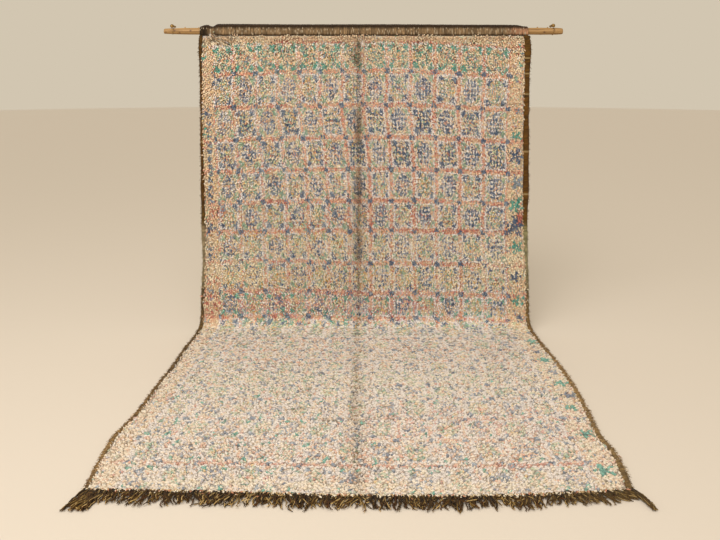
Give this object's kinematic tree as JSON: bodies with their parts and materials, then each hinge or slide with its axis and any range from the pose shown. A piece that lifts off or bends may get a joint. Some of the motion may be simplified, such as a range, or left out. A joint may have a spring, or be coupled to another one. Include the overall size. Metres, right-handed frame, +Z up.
{
  "type": "moroccan rug hung on a wooden pole",
  "caption": "Long hand-knotted pile rug with a chequered grid of flower cells, hung over a wooden pole, sweeping down on to the floor and ending in a dark fringe.",
  "frame": {"origin": "on the floor, at the middle of the part's width and of its depth from the wall to the fringe", "axes": "+X along the pole, to the right as seen from the front; +Y towards the wall; +Z up"},
  "size_m": [2.346, 1.9981, 1.801],
  "materials": {
    "wool_pile": "shaggy hand-knotted wool and rag pile",
    "heading_weave": "ribbed flat weave of dark goat hair",
    "binding_hair": "overcast goat hair",
    "fringe_hair": "twisted goat hair",
    "peeled_wood": "peeled and dry, uncoated",
    "aged_brass": "dull, aged"
  },
  "bodies": {
    "root": {"rug_field": "wool_pile", "heading": "heading_weave", "selvedge_left": "binding_hair", "selvedge_right": "binding_hair", "fringe": "fringe_hair", "pole": "peeled_wood", "knob_left": "aged_brass", "knob_right": "aged_brass", "loop_left": "aged_brass", "loop_right": "aged_brass"}
  },
  "joints": []
}
